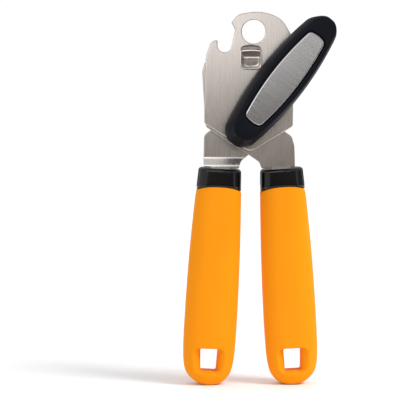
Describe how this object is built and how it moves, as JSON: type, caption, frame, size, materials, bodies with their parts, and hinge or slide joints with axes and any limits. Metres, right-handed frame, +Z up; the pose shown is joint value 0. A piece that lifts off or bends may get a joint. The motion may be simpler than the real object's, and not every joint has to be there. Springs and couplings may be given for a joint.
{
  "type": "manual can opener",
  "caption": "Hand-held can opener: two riveted handles close a geared cutting wheel on a can's rim, and a turning key drives it; with a bottle-cap notch and hang holes.",
  "frame": {"origin": "on the surface that the handle ends stand on, under the middle of the object's box", "axes": "+Z up along the handles towards the cutting head; +Y from the turning key at the front to the gears at the back; +X to the right seen from the front"},
  "size_m": [0.0862, 0.0376, 0.2154],
  "materials": {
    "plate_steel": "satin, fine upright brushing",
    "plain_steel": "semi-bright turned and stamped steel",
    "hard_steel": "hardened, ground, slightly darker",
    "insert_steel": "lengthwise brushing",
    "grip_orange": "smooth satin soft-touch overmould",
    "collar_black": "glossy",
    "knob_black": "satin",
    "nylon": "smooth"
  },
  "bodies": {
    "feed_side": {"front_plate": "plate_steel", "feed_arm": "plate_steel", "pivot_rivet": "plain_steel", "pivot_washer": "plain_steel", "feed_bush": "hard_steel", "left_grip_core": "collar_black", "left_grip_sleeve": "grip_orange"},
    "cutter_side": {"cutter_arm": "plate_steel", "cutter_axle": "hard_steel", "cutter_spacer": "hard_steel", "cutter_cap": "plain_steel", "right_grip_core": "collar_black", "right_grip_sleeve": "grip_orange"},
    "crank": {"knob_body": "knob_black", "knob_insert": "insert_steel", "knob_washer": "nylon", "feed_shaft": "hard_steel", "feed_gear": "hard_steel", "feed_wheel": "hard_steel", "feed_retainer": "plain_steel"},
    "cutter": {"cutter_gear": "hard_steel", "cutter_wheel": "hard_steel", "cutter_spring_washer": "plain_steel"}
  },
  "joints": [
    {"name": "handle_pivot", "type": "hinge", "parent": "feed_side", "child": "cutter_side", "pos_m": [-0.00421, 0.0041, 0.15], "axis": [0, -1, 0], "range_deg": [0, 28]},
    {"name": "crank_turn", "type": "hinge", "parent": "feed_side", "child": "crank", "pos_m": [0.01169, 0.0041, 0.1752], "axis": [0, -1, 0], "continuous": true},
    {"name": "cutter_turn", "type": "hinge", "parent": "cutter_side", "child": "cutter", "pos_m": [-0.00391, 0.0041, 0.1752], "axis": [0, -1, 0], "continuous": true}
  ],
  "couplings": [
    {"joint": "cutter_turn", "follows": "crank_turn", "ratio": -1}
  ]
}
